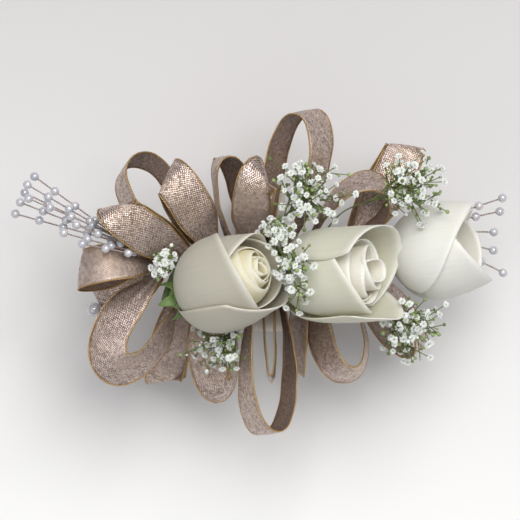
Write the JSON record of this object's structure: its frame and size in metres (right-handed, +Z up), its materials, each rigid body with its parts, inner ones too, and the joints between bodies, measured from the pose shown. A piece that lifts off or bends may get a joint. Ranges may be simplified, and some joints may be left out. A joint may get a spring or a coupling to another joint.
{
  "type": "wrist corsage",
  "caption": "Wrist corsage of cream roses among woven metallic ribbon loops, baby's breath and pearl sprays, clipped to a stretch elastic wristband.",
  "frame": {"origin": "centre of the wrist inside the relaxed wristband", "axes": "+X along the forearm towards the open end of the right-hand rose, +Y across the wrist, +Z up out of the back of the wrist"},
  "size_m": [0.1994, 0.1311, 0.1037],
  "materials": {
    "elastic": "matte",
    "steel": "satin",
    "floral_tape": "matte",
    "rose_heart": "matte",
    "petal": "matte",
    "sepal": "matte",
    "ribbon": "satin",
    "babys_breath": "matte",
    "pearl": "gloss"
  },
  "bodies": {
    "corsage": {"band_upper": "elastic", "band_side_front": "elastic", "band_side_rear": "elastic", "stem_clip": "steel", "spine_tape": "floral_tape", "spine_wires": "steel", "rose_left_heart": "rose_heart", "rose_left_petal_1": "petal", "rose_left_petal_2": "petal", "rose_left_petal_3": "petal", "rose_left_petal_4": "petal", "rose_left_calyx": "sepal", "rose_left_stem": "floral_tape", "rose_middle_heart": "rose_heart", "rose_middle_petal_1": "petal", "rose_middle_petal_2": "petal", "rose_middle_petal_3": "petal", "rose_middle_petal_4": "petal", "rose_middle_calyx": "sepal", "rose_middle_stem": "floral_tape", "rose_right_heart": "rose_heart", "rose_right_petal_1": "petal", "rose_right_petal_2": "petal", "rose_right_petal_3": "petal", "rose_right_petal_4": "petal", "rose_right_calyx": "sepal", "rose_right_stem": "floral_tape", "ribbon_loop_left_back": "ribbon", "ribbon_loop_left_high": "ribbon", "ribbon_loop_left_wide": "ribbon", "ribbon_loop_left_end": "ribbon", "ribbon_loop_left_pinned": "ribbon", "ribbon_loop_left_low": "ribbon", "ribbon_loop_low_1": "ribbon", "ribbon_loop_low_2": "ribbon", "ribbon_loop_low_long": "ribbon", "ribbon_loop_low_thin": "ribbon", "ribbon_loop_low_right": "ribbon", "ribbon_loop_right_low": "ribbon", "ribbon_loop_high_1": "ribbon", "ribbon_loop_high_2": "ribbon", "ribbon_loop_high_tall": "ribbon", "ribbon_loop_high_open": "ribbon", "ribbon_loop_right_high": "ribbon", "ribbon_tail": "ribbon", "babys_breath_top": "babys_breath", "babys_breath_inner": "babys_breath", "babys_breath_top_right": "babys_breath", "babys_breath_front": "babys_breath", "babys_breath_low_right": "babys_breath", "babys_breath_low_left": "babys_breath", "babys_breath_left": "babys_breath", "pearl_spray_left": "pearl", "pearl_spray_right": "pearl"},
    "band_lower": {"band_lower": "elastic"},
    "pin": {"pin_shaft": "steel", "pin_head": "pearl"}
  },
  "joints": [
    {"name": "band_stretch", "type": "slide", "parent": "corsage", "child": "band_lower", "axis": [0, 0, -1], "range_m": [0, 0.025], "stiffness_N_per_m": 120, "deforming": ["band_side_front", "band_side_rear"]},
    {"name": "pin_pull", "type": "slide", "parent": "corsage", "child": "pin", "axis": [-0.8539, -0.5131, -0.0872], "range_m": [0, 0.04]}
  ]
}
